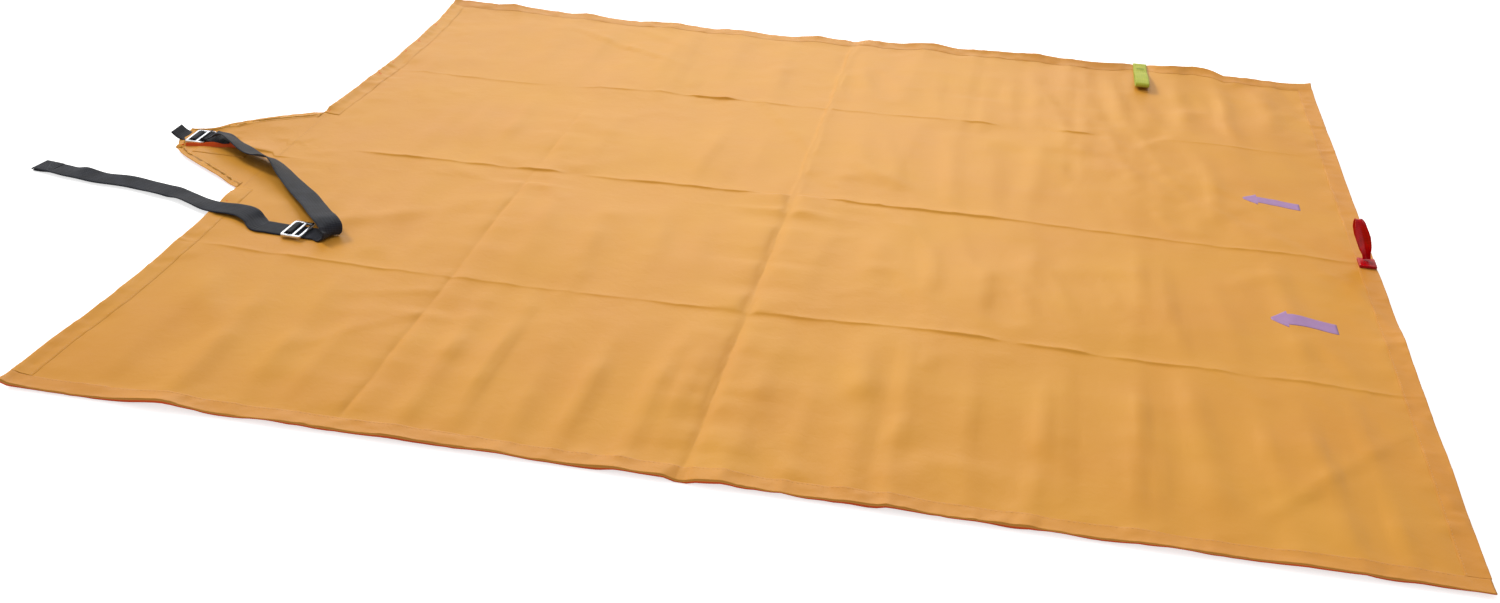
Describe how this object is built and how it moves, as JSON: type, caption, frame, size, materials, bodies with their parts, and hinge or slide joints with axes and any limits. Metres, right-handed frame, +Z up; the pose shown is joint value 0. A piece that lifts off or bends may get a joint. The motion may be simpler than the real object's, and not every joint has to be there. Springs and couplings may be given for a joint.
{
  "type": "rescue transfer sheet",
  "caption": "Thin orange rescue sheet laid flat, with wide turned hems, a tapered tab carrying a metal slide and dark adjusting strap, and green and red webbing loops.",
  "frame": {"origin": "under the middle of the sheet and its tab together, on the surface that they lie on", "axes": "+X along the length, away from the tab; +Y across, towards the green loop's edge; +Z up"},
  "size_m": [1.4297, 1.12, 0.0497],
  "materials": {
    "orange_cloth": "thin coated nylon, slightly glossy",
    "orange_thread": "polyester thread",
    "dark_webbing": "dark slate woven webbing",
    "green_webbing": "light green woven webbing",
    "red_webbing": "red woven webbing, shiny",
    "slide_steel": "bright plated steel"
  },
  "bodies": {
    "sheet_tab_half": {"panel_tab_half": "orange_cloth", "hem_near_tab_half": "orange_cloth", "hem_far_tab_half": "orange_cloth", "hem_tab_edge_near": "orange_cloth", "hem_tab_edge_far": "orange_cloth", "stitching_near_tab_half": "orange_thread", "stitching_far_tab_half": "orange_thread", "stitching_tab_edge_near": "orange_thread", "stitching_tab_edge_far": "orange_thread", "tab_panel": "orange_cloth", "tab_hem_near": "orange_cloth", "tab_hem_far": "orange_cloth", "tab_hem_tip": "orange_cloth", "stitching_tab_near": "orange_thread", "stitching_tab_far": "orange_thread", "tab_patch": "orange_cloth", "slide_keeper": "dark_webbing", "keeper_bar_tack": "dark_webbing", "strap": "dark_webbing", "strap_end_fold": "dark_webbing"},
    "sheet_loop_half": {"panel_loop_half": "orange_cloth", "hem_near_loop_half": "orange_cloth", "hem_far_loop_half": "orange_cloth", "hem_end": "orange_cloth", "stitching_near_loop_half": "orange_thread", "stitching_far_loop_half": "orange_thread", "stitching_end": "orange_thread", "green_loop_sewn_end": "green_webbing", "green_loop_bar_tack": "green_webbing", "red_loop_sewn_end": "red_webbing", "red_loop_bar_tack": "red_webbing"},
    "tab_slide": {"tab_slide": "slide_steel", "strap_tail": "dark_webbing"},
    "loose_slide": {"loose_slide": "slide_steel", "strap_fold": "dark_webbing"},
    "green_loop": {"green_loop": "green_webbing"},
    "red_loop": {"red_loop": "red_webbing"}
  },
  "joints": [
    {"name": "centre_fold", "type": "hinge", "parent": "sheet_tab_half", "child": "sheet_loop_half", "pos_m": [0.044, 0, 0.00285], "axis": [0, -1, 0], "range_deg": [0, 170]},
    {"name": "tab_slide_pivot", "type": "hinge", "parent": "sheet_tab_half", "child": "tab_slide", "pos_m": [-0.63, -0.02, 0.005], "axis": [0, 1, 0], "range_deg": [0, 60]},
    {"name": "loose_slide_travel", "type": "slide", "parent": "sheet_tab_half", "child": "loose_slide", "axis": [-0.9986, 0.0523, 0], "range_m": [-0.003, 0.026]},
    {"name": "green_loop_swing", "type": "hinge", "parent": "sheet_loop_half", "child": "green_loop", "pos_m": [0.435, 0.545, 0.0054], "axis": [-1, 0, 0], "range_deg": [0, 165]},
    {"name": "red_loop_swing", "type": "hinge", "parent": "sheet_loop_half", "child": "red_loop", "pos_m": [0.651, 0.0065, 0.0069], "axis": [1, 0, 0], "range_deg": [-70, 70], "stiffness_Nm_per_rad": 0.002}
  ]
}
